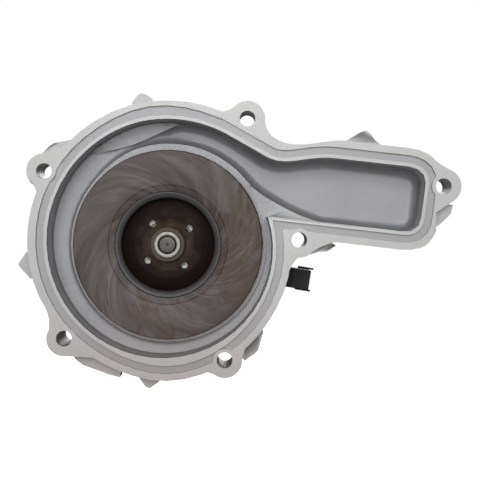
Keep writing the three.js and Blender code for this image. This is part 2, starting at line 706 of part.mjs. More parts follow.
function coilShell() {
  const shell = turned([
    [SNOUT_RADIUS + 0.6, SHOULDER_LEVEL], [COIL_OUTER, SHOULDER_LEVEL], [COIL_OUTER, COIL_END],
    [COIL_OUTER - 3, COIL_END], [COIL_OUTER - 3, SHOULDER_LEVEL + COIL_PLATE + 1],
    [COIL_INNER + 3, SHOULDER_LEVEL + COIL_PLATE + 1], [COIL_INNER + 3, COIL_END], [COIL_INNER, COIL_END],
    [COIL_INNER, SHOULDER_LEVEL + COIL_PLATE], [SNOUT_RADIUS + 0.6, SHOULDER_LEVEL + COIL_PLATE],
  ]);
  return cut(shell, round(COIL_SCREWS, COIL_SCREW_CIRCLE).map((at) => pin(2.9, 50, 60, at, 12)));
}

function coilScrew(at) {
  const head = pin(4.2, SHOULDER_LEVEL + COIL_PLATE + FIT_GAP, 60.2, at, 16);
  const socket = pin(1.6, 58.6, 61, at, 6);
  return cut(head.add(pin(2.5, 45, 58, at, 12)), [socket]);
}

function clutchPulley() {
  const profile = [
    [PULLEY_HUB_BORE, 61], [45.3, 61], [45.3, 79.5], [64.8, 79.5], [64.8, PULLEY_START],
    [PULLEY_CREST - 1, PULLEY_START],
  ];
  const first = (PULLEY_START + PULLEY_END - PULLEY_RIBS * RIB_PITCH) / 2;
  for (let i = 0; i < PULLEY_RIBS; i += 1) {
    const y = first + i * RIB_PITCH;
    profile.push([PULLEY_CREST, y], [PULLEY_CREST - RIB_DEPTH, y + RIB_PITCH / 2]);
  }
  profile.push([PULLEY_CREST, PULLEY_END - first + PULLEY_START], [PULLEY_CREST - 1, PULLEY_END]);
  profile.push([70.5, PULLEY_END]);
  profile.push([70.5, FRICTION_FACE], [38.8, FRICTION_FACE], [38.8, 82.3], [PULLEY_HUB_BORE, 82.3]);
  return cut(turned(profile), [
    ...arcSlots(50, 52.4, 78, 87, 4, 0),
    ...arcSlots(59.5, 61.9, 78, 87, 4, 45),
  ]);
}

function armaturePlate() {
  const front = FRICTION_FACE + AIR_GAP;
  const plate = tube(ARMATURE_INNER, ARMATURE_OUTER, front, front + ARMATURE_THICKNESS);
  const rivets = leafSpots(ARMATURE_RIVET_CIRCLE, LEAF_SWEEP).map((at) => pin(2.9, 80, 95, at, 12));
  return cut(plate, rivets);
}

function leafSpots(radius, lead) {
  return round(LEAF_SPRINGS, radius, 90 + lead);
}

function leafSpring(from, to) {
  const a = new THREE.Vector2(...from);
  const b = new THREE.Vector2(...to);
  const angle = Math.atan2(b.y - a.y, b.x - a.x);
  const half = 5;
  const shape = new THREE.Shape().absarc(a.x, a.y, half, angle + Math.PI / 2, angle - Math.PI / 2, false);
  shape.absarc(b.x, b.y, half, angle - Math.PI / 2, angle + Math.PI / 2, false);
  const strap = slab(shape, LEAF_FRONT, LEAF_FRONT + 1);
  return cut(strap, [from, to].map((at) => pin(2.9, 80, 95, at, 12)));
}

function driveHub() {
  const lobes = leafSpots(HUB_RIVET_CIRCLE, 0);
  const plate = join([
    tube(SHAFT_RADIUS + FIT_GAP, 24, HUB_PLATE_FRONT, HUB_PLATE_BACK, MEDIUM_ROUND),
    ...lobes.map((at) => pin(8, HUB_PLATE_FRONT, HUB_PLATE_BACK, at)),
  ]);
  const boss = turned([
    [SHAFT_RADIUS + FIT_GAP, 88.4], [13, 88.4], [14, 89.4], [14, 104.5], [12.5, 105.7],
    [SHAFT_RADIUS + FIT_GAP, 105.7],
  ], MEDIUM_ROUND);
  return cut(plate.add(boss), lobes.map((at) => pin(2.9, 85, 100, at, 12)));
}

function rivet(at, headNear, headFar, shankNear, shankFar) {
  return pin(4.2, headNear, headFar, at, 16).add(pin(2.5, shankNear, shankFar, at, 12));
}

function hubNut() {
  const nut = disc(9.4, SHAFT_SHOULDER + FIT_GAP, 114, 6);
  return nut.subtract(disc(THREAD_RADIUS + FIT_GAP, 100, 120, SMALL_ROUND));
}

// A retaining ring with a gap at the bottom and two eyes at its ends.
function circlip(inner, outer, near, far, eyeRadius) {
  const ring = tube(inner, outer, near, far, MEDIUM_ROUND);
  const gap = box(5, 10, 30, 0, (near + far) / 2, -(inner + outer) / 2);
  const eyes = [-4.4, 4.4].map((x) => pin(2.2, near, far, [x, -eyeRadius], 12));
  const holes = [-4.4, 4.4].map((x) => pin(1, near - 1, far + 1, [x, -eyeRadius], 8));
  return cut(join([cut(ring, [gap]), ...eyes]), holes);
}

// ---------------------------------------------------------------- connector
function connectorHousing() {
  const arm = box(37, 7, 13, -23.5, -7, 0);
  const root = box(12, 7.4, 14.8, -6, -6.8, 0);
  const shell = box(18, 19.4, 14.8, 0, -0.8, 0);
  const cavity = box(14, 14, 11.4, 3.2, -0.8, 0);
  const slots = [-2.9, 2.9].map((z) => box(20, 1.4, 3.4, -8, -0.8, z));
  return cut(join([arm, root, shell]), [cavity, ...slots]);
}

function connectorClip() {
  const rails = [-1, 1].map((side) => box(11.6, 8, 1.3, 5.8, 6.2, side * 8.35));
  return join([...rails, box(8.6, 1.3, 18, 4.3, 9.85, 0)]);
}

function connectorTerminal(z) {
  return box(12.5, 0.8, 2.8, -1.6, -0.8, z);
}

// ---------------------------------------------------------------- assembly
const pump = new THREE.Group();
const connector = new THREE.Group();
connector.position.set(...CONNECTOR_AT);
connector.rotation.y = radians(CONNECTOR_TILT);
pump.add(connector);

function place(name, body, finish, group = pump) {
  const mesh = new THREE.Mesh(geometryOf(body), finish);
  mesh.name = name;
  group.add(mesh);
}

place("pump_housing", pumpHousing(), CAST_ALUMINIUM);

place("pump_shaft", pumpShaft(), DARK_STEEL);
place("impeller", impeller(), BROWN_PLASTIC);
place("impeller_shroud", impellerShroud(), BROWN_PLASTIC);
place("impeller_eye_ring", impellerEyeRing(), RING_PLASTIC);
place("impeller_bush", turned([
  [BUSH_BORE, BUSH_FRONT], [BUSH_RADIUS, BUSH_FRONT], [BUSH_RADIUS, 25.4], [BUSH_BORE, 25.4],
], MEDIUM_ROUND), BRIGHT_STEEL);

place("seal_mating_ring", tube(BUSH_BORE, 13.5, 26.4, SEAL_FACE, MEDIUM_ROUND), CERAMIC);
place("seal_carbon_ring", tube(9, 12.6, SEAL_FACE + FIT_GAP, 35, MEDIUM_ROUND), CARBON);
place("seal_bellows", tube(8.4, 12, 35 + FIT_GAP, SEAL_CUP_BACK - FIT_GAP, MEDIUM_ROUND), BLACK_RUBBER);
place("seal_spring", sealSpring(), SPRING_STEEL);
place("seal_cup", sealCup(), BRIGHT_STEEL);

place("shaft_bearing_outer_ring", bearingPart(BEARING_INNER, BEARING_OUTER, BEARING_START, BEARING_END),
  BEARING_STEEL);
place("shaft_bearing_front_seal", bearingSeal(BEARING_START + 0.5), BLACK_RUBBER);
place("shaft_bearing_rear_seal", bearingSeal(BEARING_END - 0.5 - BEARING_SEAL_THICKNESS), BLACK_RUBBER);
place("shaft_bearing_balls", shaftBearingBalls(), BEARING_STEEL);
place("shaft_bearing_rollers", shaftBearingRollers(), BEARING_STEEL);

place("coil_shell", coilShell(), DARK_STEEL);
place("coil_winding", tube(49.3, 60.7, 58.3, 77), COPPER_POTTING);
round(COIL_SCREWS, COIL_SCREW_CIRCLE).forEach((at, i) => {
  place("coil_screw_" + (i + 1), coilScrew(at), BRIGHT_STEEL);
});

place("pulley_bearing_inner_ring", tube(27.3, 31, PULLEY_BEARING_START, PULLEY_BEARING_END), BEARING_STEEL);
place("pulley_bearing_outer_ring", tube(37, 41, PULLEY_BEARING_START, PULLEY_BEARING_END), BEARING_STEEL);
place("pulley_bearing_balls", pulleyBearingBalls(), BEARING_STEEL);
place("snout_circlip", circlip(25.9, 30, 82.5, 83.9, 28.6), SPRING_STEEL);
place("clutch_pulley", clutchPulley(), BLACK_PAINT);

place("armature_plate", armaturePlate(), DARK_STEEL);
place("drive_hub", driveHub(), DARK_STEEL);
place("hub_nut", hubNut(), BRIGHT_STEEL);
const hubSpots = leafSpots(HUB_RIVET_CIRCLE, 0);
const armatureSpots = leafSpots(ARMATURE_RIVET_CIRCLE, LEAF_SWEEP);
for (let i = 0; i < LEAF_SPRINGS; i += 1) {
  const n = i + 1;
  place("leaf_spring_" + n, leafSpring(hubSpots[i], armatureSpots[i]), SPRING_STEEL);
  place("hub_rivet_" + n, rivet(hubSpots[i], HUB_PLATE_BACK + FIT_GAP, 98, 89.4, 97), BRIGHT_STEEL);
  place("armature_rivet_" + n, rivet(armatureSpots[i], 92.1, 94.4, 86, 93), BRIGHT_STEEL);
}

place("connector_housing", connectorHousing(), BLACK_PLASTIC, connector);
place("connector_clip", connectorClip(), BLACK_PLASTIC, connector);
place("connector_terminal_1", connectorTerminal(2.9), BRIGHT_STEEL, connector);
place("connector_terminal_2", connectorTerminal(-2.9), BRIGHT_STEEL, connector);

export default pump;
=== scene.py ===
"""Looks of a heavy diesel engine's coolant pump with an electromagnetic clutch in its belt pulley."""
import math

import bmesh
import bpy
from mathutils import Matrix, Vector


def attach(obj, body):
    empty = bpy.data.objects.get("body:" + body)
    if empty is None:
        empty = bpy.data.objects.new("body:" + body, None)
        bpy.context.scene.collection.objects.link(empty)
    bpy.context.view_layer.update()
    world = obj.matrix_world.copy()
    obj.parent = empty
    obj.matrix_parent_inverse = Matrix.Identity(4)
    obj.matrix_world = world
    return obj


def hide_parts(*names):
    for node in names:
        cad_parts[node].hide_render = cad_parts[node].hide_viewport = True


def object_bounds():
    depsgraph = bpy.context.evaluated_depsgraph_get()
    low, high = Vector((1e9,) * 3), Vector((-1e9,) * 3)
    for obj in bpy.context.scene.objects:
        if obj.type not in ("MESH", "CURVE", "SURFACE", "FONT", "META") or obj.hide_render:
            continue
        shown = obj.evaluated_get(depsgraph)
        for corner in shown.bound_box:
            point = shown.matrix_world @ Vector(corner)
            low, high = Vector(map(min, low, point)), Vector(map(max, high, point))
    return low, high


MM = 0.001
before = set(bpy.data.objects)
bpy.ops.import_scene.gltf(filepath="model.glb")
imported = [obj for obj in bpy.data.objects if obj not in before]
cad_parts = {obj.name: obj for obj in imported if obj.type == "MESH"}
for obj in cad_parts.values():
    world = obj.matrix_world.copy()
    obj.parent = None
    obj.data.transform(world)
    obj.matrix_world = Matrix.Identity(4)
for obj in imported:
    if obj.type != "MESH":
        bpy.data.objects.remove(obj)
cad_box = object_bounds()

AXIS_Y = (0.0, 1.0, 0.0)
FINE_STEPS = 144  # sides of a large turned piece
PLAIN_STEPS = 96  # of a piece about as big as the shaft bearing
SMALL_STEPS = 40  # of a rivet or pin
EDGE = 0.4  # radius of a broken edge, in millimetres

# Sizes that several pieces share, in millimetres and in degrees round the shaft.
IMPELLER_RADIUS = 67.3
BUSH_OUTER = 9.2
HUB_RIVET_CIRCLE = 27.0
ARMATURE_RIVET_CIRCLE = 58.0
LEAF_SWEEP = 48.0
RIVET_HOLE = 2.9
COIL_SCREW_CIRCLE = 33.0
CONNECTOR_AT = (94.8, 57.0, -26.2)
CONNECTOR_TILT = 9.0
VANES = 7
BALANCE_HOLES = 4
BALANCE_CIRCLE = 18.7
BALANCE_START = 37.5
SHAFT_END = 118
THREAD_CREST = 5.5
COIL_SCREWS = 3
LEAVES = 3
LEAF_NEAR, LEAF_FAR = 90.5, 91.5
HUB_PLATE_NEAR, HUB_PLATE_FAR = 92, 95.5
CIRCLIP_NEAR, CIRCLIP_FAR = 82.5, 83.9
CIRCLIP_EYES = (-4.4, 4.4)
CIRCLIP_EYE_HEIGHT = -28.6
RAIL_SIDE = 8.35  # of the connector's clip, from its middle
TERMINAL_SIDE = 2.9

# Camera, in metres, and the drop from the part to the floor.
CAMERA_AT = (0.0478, -0.680, 0.0139)
CAMERA_LENS = 72.9
CAMERA_SHIFT = (0.010417, -0.03125)
FLOOR_DROP = 0.08

# Clean-up of the housing's mesh before its edges are rounded, in millimetres and degrees.
HOUSING_MERGE = 0.03
HOUSING_FLAT = 0.5
HOUSING_EDGE = 0.35
HOUSING_SHARP = 60.0
HOUSING_ROOM = 1.0


# ---------------------------------------------------------------- mesh helpers
def polar(radius, degrees):
    turn = math.radians(degrees)
    return radius * math.cos(turn), radius * math.sin(turn)


def spots(count, radius, start):
    """Evenly spaced (x, z) places on a circle round the shaft."""
    return [polar(radius, start + 360 * i / count) for i in range(count)]


def corner_edges(bm, profile, rounding):
    """Adds a closed profile of (radius, y) corners in the X-Y plane, with its corners rounded."""
    corners = [bm.verts.new((radius * MM, y * MM, 0.0)) for radius, y in profile]
    face = bm.faces.new(corners)
    if rounding > 0:
        outer = [v for v in corners if v.co.x > 1e-7]
        bmesh.ops.bevel(bm, geom=outer, offset=rounding * MM, offset_type="OFFSET", affect="VERTICES",
                        segments=2, profile=0.5, material=-1, clamp_overlap=True)
    bmesh.ops.delete(bm, geom=list(bm.faces), context="FACES_ONLY")
    return list(bm.verts) + list(bm.edges)


def turned(profile, steps=FINE_STEPS, rounding=EDGE):
    """A body turned about the shaft's axis from a closed profile of (radius, y) corners."""
    bm = bmesh.new()
    lines = corner_edges(bm, profile, rounding)
    bmesh.ops.spin(bm, geom=lines, cent=(0, 0, 0), axis=AXIS_Y, dvec=(0, 0, 0), angle=2 * math.pi,
                   steps=steps, use_merge=True, use_normal_flip=False, use_duplicate=False)
    bmesh.ops.remove_doubles(bm, verts=bm.verts, dist=1e-6)
    bmesh.ops.dissolve_degenerate(bm, dist=1e-7, edges=bm.edges)
    bmesh.ops.recalc_face_normals(bm, faces=bm.faces)
    return bm


def ring(inner, outer, near, far, steps=FINE_STEPS, rounding=EDGE):
    return turned([(inner, near), (outer, near), (outer, far), (inner, far)], steps, rounding)


def disc(radius, near, far, steps=SMALL_STEPS, rounding=0.0):
    return turned([(0, near), (radius, near), (radius, far), (0, far)], steps, rounding)


def plate(outline, near, far, rounding=0.0):
    """An outline of (x, z) corners made as thick as from y = near to y = far."""
    bm = bmesh.new()
    face = bm.faces.new([bm.verts.new((x * MM, near * MM, z * MM)) for x, z in outline])
    grown = bmesh.ops.extrude_face_region(bm, geom=[face], use_keep_orig=True)
    new_verts = [g for g in grown["geom"] if isinstance(g, bmesh.types.BMVert)]
    bmesh.ops.translate(bm, verts=new_verts, vec=(0, (far - near) * MM, 0))
    bmesh.ops.recalc_face_normals(bm, faces=bm.faces)
    if rounding > 0:
        soften(bm, rounding)
    return bm


def block(size, centre, rounding=0.0):
    bm = bmesh.new()
    bmesh.ops.create_cube(bm, size=1.0)
    bmesh.ops.scale(bm, verts=bm.verts, vec=[s * MM for s in size])
    bmesh.ops.translate(bm, verts=bm.verts, vec=[c * MM for c in centre])
    if rounding > 0:
        soften(bm, rounding)
    return bm


def pin(radius, near, far, spot, steps=SMALL_STEPS, rounding=0.0):
    """A pin or drill along the shaft's direction at (x, z)."""
    return moved(disc(radius, near, far, steps, rounding), spot[0], 0.0, spot[1])


def soften(bm, rounding, sharper_than=35.0, segments=2):
    """Rounds every edge that turns by more than an angle."""
    limit = math.radians(sharper_than)
    sharp = [e for e in bm.edges if len(e.link_faces) == 2 and e.calc_face_angle() > limit]
    bmesh.ops.bevel(bm, geom=sharp, offset=rounding * MM, offset_type="OFFSET", affect="EDGES",
                    segments=segments, profile=0.5, material=-1, clamp_overlap=True)


def moved(bm, x=0.0, y=0.0, z=0.0):
    bmesh.ops.translate(bm, verts=bm.verts, vec=(x * MM, y * MM, z * MM))
    return bm


def rotated(bm, degrees):
    """Turned about the shaft's axis, anticlockwise as seen from the engine."""
    turn = Matrix.Rotation(math.radians(-degrees), 4, "Y")
    bmesh.ops.transform(bm, matrix=turn, verts=bm.verts)
    return bm


def merged(bodies):
    """Several closed bodies as one mesh."""
    whole = bmesh.new()
    for body in bodies:
        part = bpy.data.meshes.new("part")
        body.to_mesh(part)
        body.free()
        whole.from_mesh(part)
        bpy.data.meshes.remove(part)
    return whole


def drilled(body, tools):
    """A body with other bodies cut out of it."""
    return combined(body, tools, "DIFFERENCE")


def welded(bodies):
    return combined(bodies[0], bodies[1:], "UNION")


def combined(body, tools, operation):
    target = loose_object("target", body)
    for tool in tools:
        cutter = loose_object("cutter", tool)
        step = target.modifiers.new("step", "BOOLEAN")
        step.operation = operation
        step.solver = "EXACT"
        step.object = cutter
    depsgraph = bpy.context.evaluated_depsgraph_get()
    result = bmesh.new()
    result.from_mesh(target.evaluated_get(depsgraph).data)
    for step in target.modifiers:
        bpy.data.objects.remove(step.object)
    bpy.data.objects.remove(target)
    return result


def loose_object(name, bm):
    mesh = bpy.data.meshes.new(name)
    bm.to_mesh(mesh)
    bm.free()
    item = bpy.data.objects.new(name, mesh)
    bpy.context.scene.collection.objects.link(item)
    return item


def piece(node, bm, body, finish, smooth_below=32.0):
    """A finished piece that stands in for a CAD node, which it hides, rides on its body and takes the finish
    it is given.
    """
    mesh = bpy.data.meshes.new(node + "_look")
    bm.to_mesh(mesh)
    bm.free()
    mesh.materials.clear()
    mesh.materials.append(finish)
    mesh.shade_smooth()
    mesh.set_sharp_from_angle(angle=math.radians(smooth_below))
    item = bpy.data.objects.new(node + "_look", mesh)
    bpy.context.scene.collection.objects.link(item)
    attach(item, body)
    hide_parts(node)
    return item


def with_rounded_edges(item, width, sharper_than=40.0):
    """Rounds a piece's sharp edges and keeps its flat faces flat."""
    edge = item.modifiers.new("edge", "BEVEL")
    edge.width = width * MM
    edge.segments = 2
    edge.limit_method = "ANGLE"
    edge.angle_limit = math.radians(sharper_than)
    edge.use_clamp_overlap = False
    edge.harden_normals = True
    level = item.modifiers.new("level", "WEIGHTED_NORMAL")
    level.keep_sharp = True
    return item


# ---------------------------------------------------------------- material helpers
def new_finish(name):
    """An empty node material: its nodes, its links, its shader and object coordinates."""
    finish = bpy.data.materials.new(name)
    finish.use_nodes = True
    nodes = finish.node_tree.nodes
    links = finish.node_tree.links
    nodes.clear()
    out = nodes.new("ShaderNodeOutputMaterial")
    shader = nodes.new("ShaderNodeBsdfPrincipled")
    links.new(shader.outputs["BSDF"], out.inputs["Surface"])
    place = nodes.new("ShaderNodeTexCoord").outputs["Object"]
    return finish, nodes, links, shader, place


def noise(nodes, links, place, scale, detail=4.0, roughness=0.55, distortion=0.0):
    texture = nodes.new("ShaderNodeTexNoise")
    texture.inputs["Scale"].default_value = scale
    texture.inputs["Detail"].default_value = detail
    texture.inputs["Roughness"].default_value = roughness
    texture.inputs["Distortion"].default_value = distortion
    links.new(place, texture.inputs["Vector"])
    return texture.outputs["Fac"]


def ramp(nodes, links, value, stops):
    """A colour that follows a value through (position, colour) stops."""
    node = nodes.new("ShaderNodeValToRGB")
    elements = node.color_ramp.elements
    while len(elements) < len(stops):
        elements.new(0.5)
    for element, (position, colour) in zip(elements, stops):
        element.position = position
        element.color = (*colour, 1.0)
    links.new(value, node.inputs["Fac"])
    return node.outputs["Color"]


def spread(nodes, links, value, low, high, new_low, new_high):
    """A value moved smoothly from one range to another."""
    node = nodes.new("ShaderNodeMapRange")
    node.interpolation_type = "SMOOTHSTEP"
    node.inputs["From Min"].default_value = low
    node.inputs["From Max"].default_value = high
    node.inputs["To Min"].default_value = new_low
    node.inputs["To Max"].default_value = new_high
    links.new(value, node.inputs["Value"])
    return node.outputs["Result"]


def mixed(nodes, links, share, first, second, blend="MIX"):
    """Two colours mixed; each is a socket or an RGB triple, and the share is a socket or a number."""
    node = nodes.new("ShaderNodeMix")
    node.data_type = "RGBA"
    node.blend_type = blend
    for value, socket in ((share, node.inputs[0]), (first, node.inputs[6]), (second, node.inputs[7])):
        if isinstance(value, bpy.types.NodeSocket):
            links.new(value, socket)
        elif isinstance(value, tuple):
            socket.default_value = (*value, 1.0)
        else:
            socket.default_value = value
    return node.outputs[2]


def arithmetic(nodes, links, operation, first, second=0.0):
    node = nodes.new("ShaderNodeMath")
    node.operation = operation
    for value, socket in ((first, node.inputs[0]), (second, node.inputs[1])):
        if isinstance(value, bpy.types.NodeSocket):
            links.new(value, socket)
        else:
            socket.default_value = value
    return node.outputs[0]


def bump(nodes, links, shader, height, strength, distance):
    node = nodes.new("ShaderNodeBump")
    node.inputs["Strength"].default_value = strength
    node.inputs["Distance"].default_value = distance
    links.new(height, node.inputs["Height"])
    links.new(node.outputs["Normal"], shader.inputs["Normal"])
    return node


def axis_value(nodes, links, place, axis):
    split = nodes.new("ShaderNodeSeparateXYZ")
    links.new(place, split.inputs[0])
    return split.outputs[axis]


def shaft_radius(nodes, links, place):
    """Distance from the shaft's axis, and the place without its height along the axis."""
    split = nodes.new("ShaderNodeSeparateXYZ")
    links.new(place, split.inputs[0])
    across = nodes.new("ShaderNodeCombineXYZ")
    links.new(split.outputs["X"], across.inputs["X"])
    links.new(split.outputs["Z"], across.inputs["Z"])
    length = nodes.new("ShaderNodeVectorMath")
    length.operation = "LENGTH"
    links.new(across.outputs[0], length.inputs[0])
    return length.outputs["Value"], across.outputs[0]


def simple_finish(name, dark, light, roughness, metallic, scale, grain, depth):
    """Two close tones in slow patches, with fine grain in gloss and surface."""
    finish, nodes, links, shader, place = new_finish(name)
    patches = noise(nodes, links, place, scale, 5.0, 0.6)
    colour = ramp(nodes, links, patches, [(0.3, dark), (0.7, light)])
    links.new(colour, shader.inputs["Base Color"])
    fine = noise(nodes, links, place, grain, 3.0, 0.6)
    gloss = spread(nodes, links, fine, 0.3, 0.7, roughness - 0.06, roughness + 0.08)
    links.new(gloss, shader.inputs["Roughness"])
    shader.inputs["Metallic"].default_value = metallic
    bump(nodes, links, shader, fine, 0.35, depth)
    return finish


# ---------------------------------------------------------------- materials
def cast_aluminium():
    """Blasted casting: pale machined land at the flange face, greyer towards the bottom of the channel,
    partly its as-cast tone and partly painted shade.
    """
    finish, nodes, links, shader, place = new_finish("cast_aluminium")
    patches = noise(nodes, links, place, 22.0, 4.0, 0.55)
    speckle = noise(nodes, links, place, 900.0, 3.0, 0.65)
    # Deeper surfaces are greyer: partly the as-cast tone, partly painted shade of the deep channel.
    deep_cast_and_shade = ramp(nodes, links, patches, [(0.3, (0.340, 0.342, 0.360)), (0.7, (0.400, 0.403, 0.422))])
    outside = ramp(nodes, links, patches, [(0.3, (0.50, 0.50, 0.50)), (0.7, (0.58, 0.58, 0.575))])
    land = ramp(nodes, links, patches, [(0.3, (0.57, 0.57, 0.565)), (0.7, (0.63, 0.63, 0.62))])
    depth = axis_value(nodes, links, place, "Y")
    sunk_and_shaded = spread(nodes, links, depth, 0.013, 0.024, 0.0, 1.0)
    colour = mixed(nodes, links, sunk_and_shaded, outside, deep_cast_and_shade)
    groove = spread(nodes, links, depth, 0.0026, 0.0030, 1.0, 0.0)
    colour = mixed(nodes, links, groove, colour, (0.44, 0.435, 0.448))
    machined = spread(nodes, links, depth, 0.0004, 0.0010, 1.0, 0.0)
    colour = mixed(nodes, links, machined, colour, land)
    # Near the shaft the casting is painted nearly white: the machined seal seat, lightened as painted light
    # where it lies in shade behind the balance holes.
    radius, _ = shaft_radius(nodes, links, place)
    seat_painted_light = spread(nodes, links, radius, 0.024, 0.026, 1.0, 0.0)
    colour = mixed(nodes, links, seat_painted_light, colour, (0.80, 0.80, 0.79))
    height = axis_value(nodes, links, place, "Z")
    low = spread(nodes, links, height, -0.095, -0.030, 0.75, 0.0)
    colour = mixed(nodes, links, low, colour, (0.92, 0.84, 0.81), "MULTIPLY")
    fleck = ramp(nodes, links, speckle, [(0.35, (0.2, 0.2, 0.2)), (0.65, (0.8, 0.8, 0.8))])
    colour = mixed(nodes, links, 0.14, colour, fleck, "OVERLAY")
    links.new(colour, shader.inputs["Base Color"])
    gloss = spread(nodes, links, speckle, 0.3, 0.7, 0.46, 0.62)
    links.new(gloss, shader.inputs["Roughness"])
    shader.inputs["Metallic"].default_value = 0.5
    bump(nodes, links, shader, speckle, 0.30, 0.00025)
    return finish


def flow_coordinates(nodes, links, place, sweep, run):
    """Coordinates that stay nearly the same along the swept paths of the coolant."""
    radius, across = shaft_radius(nodes, links, place)
    twist = nodes.new("ShaderNodeVectorRotate")
    twist.rotation_type = "Y_AXIS"
    links.new(across, twist.inputs["Vector"])
    links.new(arithmetic(nodes, links, "MULTIPLY", radius, sweep), twist.inputs["Angle"])
    unit = nodes.new("ShaderNodeVectorMath")
    unit.operation = "NORMALIZE"
    links.new(twist.outputs[0], unit.inputs[0])
    drift = nodes.new("ShaderNodeCombineXYZ")
    links.new(arithmetic(nodes, links, "MULTIPLY", radius, run), drift.inputs["Y"])
    flow = nodes.new("ShaderNodeVectorMath")
    flow.operation = "ADD"
    links.new(unit.outputs["Vector"], flow.inputs[0])
    links.new(drift.outputs[0], flow.inputs[1])
    return flow.outputs["Vector"]


def shroud_plastic():
    """Brown-grey moulded plastic, streaked by the coolant's flow and stained with rust."""
    finish, nodes, links, shader, place = new_finish("shroud_plastic")
    flow = flow_coordinates(nodes, links, place, 26.0, 11.0)
    fine_streaks = noise(nodes, links, flow, 15.0, 4.0, 0.6)
    wide_streaks = noise(nodes, links, flow, 4.5, 3.0, 0.5, 0.6)
    base = ramp(nodes, links, wide_streaks, [(0.32, (0.068, 0.047, 0.042)), (0.50, (0.104, 0.078, 0.073)),
                                             (0.68, (0.155, 0.125, 0.121))])
    lines = ramp(nodes, links, fine_streaks, [(0.32, (0.28, 0.28, 0.28)), (0.68, (0.70, 0.70, 0.70))])
    colour = mixed(nodes, links, 0.75, base, lines, "OVERLAY")
    clouds = noise(nodes, links, place, 34.0, 5.0, 0.62, 0.5)
    side = arithmetic(nodes, links, "MULTIPLY", axis_value(nodes, links, place, "X"), 2.2)
    stained = arithmetic(nodes, links, "ADD", clouds, side)
    rust = spread(nodes, links, stained, 0.54, 0.64, 0.0, 0.8)
    colour = mixed(nodes, links, rust, colour, (0.078, 0.042, 0.022))
    along = flow_coordinates(nodes, links, place, 22.0, 1.2)
    scratched = noise(nodes, links, along, 26.0, 1.0, 0.4)
    scratches = spread(nodes, links, scratched, 0.66, 0.74, 0.0, 0.5)
    colour = mixed(nodes, links, scratches, colour, (0.23, 0.195, 0.185))
    links.new(colour, shader.inputs["Base Color"])
    gloss = spread(nodes, links, fine_streaks, 0.3, 0.7, 0.40, 0.58)
    links.new(gloss, shader.inputs["Roughness"])
    grain = noise(nodes, links, place, 700.0, 3.0, 0.6)
    bump(nodes, links, shader, mixed(nodes, links, 0.5, fine_streaks, grain), 0.25, 0.0004)
    return finish


def hub_plastic():
    """The same plastic inside the impeller, with blotchy deposits in its gloss and surface; its colour is
    painted light and shade, a pale red-brown glow near the hub and painted shade, nearly black, towards the
    rim.
    """
    finish, nodes, links, shader, place = new_finish("hub_plastic")
    radius, _ = shaft_radius(nodes, links, place)
    blotch = noise(nodes, links, place, 90.0, 4.0, 0.6)
    wander = arithmetic(nodes, links, "MULTIPLY", arithmetic(nodes, links, "SUBTRACT", blotch, 0.5), 0.010)
    glow_and_shade_reach = arithmetic(nodes, links, "ADD", radius, wander)
    share = spread(nodes, links, glow_and_shade_reach, 0.010, 0.030, 0.0, 1.0)
    # Painted light and shade by radius: a pale red-brown glow near the hub, painted shade nearly black
    # further out.
    colour = ramp(nodes, links, share, [(0.0, (0.130, 0.106, 0.090)), (0.05, (0.115, 0.088, 0.070)),
                                        (0.13, (0.068, 0.043, 0.027)), (0.42, (0.022, 0.010, 0.006)),
                                        (1.0, (0.013, 0.005, 0.004))])
    links.new(colour, shader.inputs["Base Color"])
    shader.inputs["Specular IOR Level"].default_value = 0.2
    gloss = spread(nodes, links, blotch, 0.3, 0.7, 0.55, 0.75)
    links.new(gloss, shader.inputs["Roughness"])
    bump(nodes, links, shader, blotch, 0.3, 0.0002)
    return finish


def eye_ring_plastic():
    return simple_finish("eye_ring_plastic", (0.066, 0.062, 0.066), (0.090, 0.085, 0.088), 0.45, 0.0,
                         60.0, 900.0, 0.0001)


def bright_steel():
    return simple_finish("bright_steel", (0.34, 0.32, 0.30), (0.46, 0.44, 0.41), 0.50, 0.6,
                         260.0, 1500.0, 0.00006)


def dark_steel():
    return simple_finish("dark_steel", (0.070, 0.064, 0.058), (0.125, 0.117, 0.108), 0.45, 0.7,
                         240.0, 1200.0, 0.00010)


def bearing_steel():
    return simple_finish("bearing_steel", (0.42, 0.42, 0.43), (0.52, 0.52, 0.53), 0.38, 0.9,
                         80.0, 1800.0, 0.00003)


def spring_steel():
    return simple_finish("spring_steel", (0.30, 0.31, 0.33), (0.40, 0.41, 0.43), 0.32, 0.95,
                         70.0, 1500.0, 0.00004)


def black_plastic():
    return simple_finish("black_plastic", (0.006, 0.006, 0.007), (0.010, 0.010, 0.011), 0.62, 0.0,
                         60.0, 1400.0, 0.0001)


def black_rubber():
    return simple_finish("black_rubber", (0.010, 0.010, 0.010), (0.020, 0.020, 0.020), 0.75, 0.0,
                         90.0, 1600.0, 0.00012)


def potting():
    return simple_finish("potting", (0.070, 0.030, 0.016), (0.115, 0.052, 0.026), 0.5, 0.0,
                         80.0, 900.0, 0.0002)


def carbon():
    return simple_finish("carbon", (0.020, 0.020, 0.022), (0.035, 0.035, 0.037), 0.35, 0.0,
                         150.0, 2000.0, 0.00003)


def ceramic():
    return simple_finish("ceramic", (0.62, 0.59, 0.52), (0.70, 0.67, 0.60), 0.25, 0.0,
                         100.0, 2000.0, 0.00002)


def black_paint():
    return simple_finish("black_paint", (0.015, 0.016, 0.018), (0.028, 0.029, 0.031), 0.42, 0.0,
                         40.0, 700.0, 0.0002)


